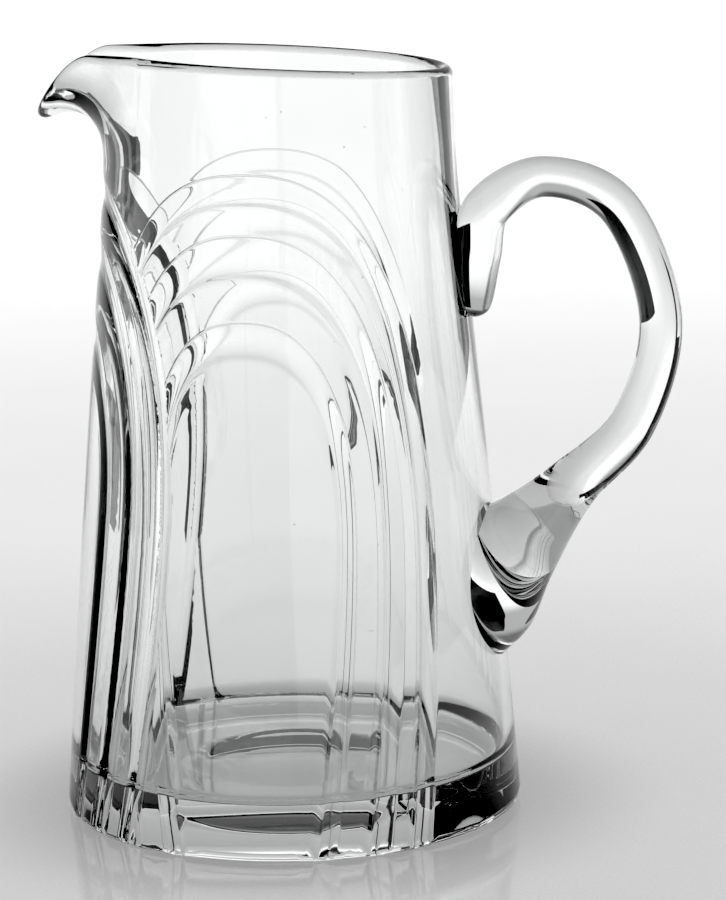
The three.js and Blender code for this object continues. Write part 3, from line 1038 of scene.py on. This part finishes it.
def build_cards(stage):
    """Dark cards standing round the set, which give clear glass its dark lines. Only glass shows them."""
    material, nodes = new_material("dark_card")
    surface = nodes.wire("ShaderNodeEmission", values={"Color": WHITE, "Strength": stage.dark})
    nodes.add("ShaderNodeOutputMaterial", values={"Surface": surface})
    for plan in CARDS:
        compass = np.radians(np.linspace(plan.first, plan.last, CARD_STEPS))
        radius = stage.far_radius if plan.far else stage.near_radius
        height = stage.far_height if plan.far else stage.near_height
        x = AXIS_X - radius * np.sin(compass)
        y = AXIS_Y + radius * np.cos(compass)
        corners = [(a, b, z) for z in (plan.low, height) for a, b in zip(x, y)]
        faces = [(i, i + 1, i + 1 + CARD_STEPS, i + CARD_STEPS) for i in range(CARD_STEPS - 1)]
        mesh = bpy.data.meshes.new("dark_card")
        mesh.from_pydata(corners, [], faces)
        mesh.materials.append(material)
        card = add_object("dark_card", mesh)
        card.visible_camera = False
        card.visible_diffuse = False
        card.visible_shadow = False
        card.visible_glossy = False


def build_camera(stage):
    """The camera at the photograph's place, tilt and framing."""
    data = bpy.data.cameras.new("camera")
    data.sensor_fit = "AUTO"
    data.sensor_width = SENSOR
    data.lens = stage.lens
    data.clip_end = CLIP_END
    camera = bpy.data.objects.new("camera", data)
    bpy.context.scene.collection.objects.link(camera)
    around = Matrix.Rotation(stage.azimuth, 4, "Z")
    aim = Matrix.Rotation(-stage.yaw, 4, "Z") @ Matrix.Rotation(math.pi / 2 + stage.pitch, 4, "X")
    place = Matrix.Translation(Vector((0, -stage.distance, stage.height)))
    turned = aim @ Matrix.Rotation(stage.roll, 4, "Z")
    camera.matrix_world = Matrix.Translation(Vector((AXIS_X, AXIS_Y, 0))) @ around @ place @ turned
    bpy.context.scene.camera = camera


def build_floor(stage):
    """A round floor under the foot."""
    turn = np.arange(FLOOR_SIDES) / FLOOR_SIDES * 2 * math.pi
    radii = np.linspace(0, 1, FLOOR_RINGS)[1:] ** FLOOR_SPREAD * stage.floor_end
    rings = np.stack([np.outer(radii, np.cos(turn)), np.outer(radii, np.sin(turn))], axis=-1)
    corners = [(0, 0, -FLOOR_GAP), *((x, y, -FLOOR_GAP) for x, y in rings.reshape(-1, 2))]
    number = np.arange(1, len(corners)).reshape(len(radii), -1)
    faces = [(0, a, b) for a, b in zip(number[0], np.roll(number[0], -1))]
    for inner, outer in zip(number, number[1:]):
        faces.extend(ring_faces(inner, outer)[:, ::-1].tolist())
    mesh = bpy.data.meshes.new("floor")
    mesh.from_pydata(corners, [], [tuple(int(i) for i in face) for face in faces])
    mesh.materials.append(floor_material(stage))
    add_object("floor", mesh)


class PITCHER_OT_stage(bpy.types.Operator):
    """Sets the camera, the bright studio, the pale floor and the dark cards round it"""

    bl_idname = "pitcher.stage"
    bl_label = "Stage"

    def execute(self, context):
        stage = context.scene.pitcher_stage
        build_camera(stage)
        build_world(stage)
        build_floor(stage)
        build_cards(stage)
        view = context.scene.view_settings
        view.view_transform = "Standard"
        view.use_curve_mapping = True
        view.curve_mapping.black_level = (stage.black,) * 3
        view.curve_mapping.update()
        return {"FINISHED"}


class PITCHER_OT_handle(bpy.types.Operator):
    """Draws the applied handle and cuts it to the wall"""

    bl_idname = "pitcher.handle"
    bl_label = "Handle"

    def execute(self, context):
        scene = context.scene
        glass = glass_material("handle_clear_glass", scene.pitcher_glass, HANDLE_RIPPLE)
        piece = build_handle(scene.pitcher_vessel, scene.pitcher_handle, glass, seam_material())
        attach(piece, "root")
        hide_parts("handle")
        return {"FINISHED"}


class PITCHER_OT_vessel(bpy.types.Operator):
    """Builds the blown vessel with its cut arches, rolled lip and thick base"""

    bl_idname = "pitcher.vessel"
    bl_label = "Vessel"

    def execute(self, context):
        scene = context.scene
        glass = glass_material("vessel_clear_glass", scene.pitcher_glass, VESSEL_RIPPLE)
        loops = seat_outlines(bpy.data.objects["handle_loop"].data)
        piece = build_vessel(scene.pitcher_vessel, loops, glass, bpy.data.materials["fused_seam"])
        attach(piece, "root")
        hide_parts("vessel")
        return {"FINISHED"}


class PITCHER_PT_panel(bpy.types.Panel):
    """Lists the pieces of the pitcher"""

    bl_label = "Pitcher"
    bl_space_type = "VIEW_3D"
    bl_region_type = "UI"
    bl_category = "Pitcher"

    def draw(self, context):
        for operator in OPERATORS:
            self.layout.operator(operator.bl_idname)


GROUPS = {
    "pitcher_vessel": PitcherVesselSizes,
    "pitcher_handle": PitcherHandleSizes,
    "pitcher_glass": PitcherGlassLook,
    "pitcher_stage": PitcherStageLook,
}
OPERATORS = (PITCHER_OT_stage, PITCHER_OT_handle, PITCHER_OT_vessel)


def register():
    for group in GROUPS.values():
        bpy.utils.register_class(group)
    for name, group in GROUPS.items():
        setattr(bpy.types.Scene, name, PointerProperty(type=group))
    for operator in OPERATORS:
        bpy.utils.register_class(operator)
    bpy.utils.register_class(PITCHER_PT_panel)


def unregister():
    bpy.utils.unregister_class(PITCHER_PT_panel)
    for operator in reversed(OPERATORS):
        bpy.utils.unregister_class(operator)
    for name in GROUPS:
        delattr(bpy.types.Scene, name)
    for group in reversed(GROUPS.values()):
        bpy.utils.unregister_class(group)


def main():
    register()
    bpy.ops.pitcher.stage()
    bpy.ops.pitcher.handle()
    bpy.ops.pitcher.vessel()


if __name__ == "__main__":
    main()
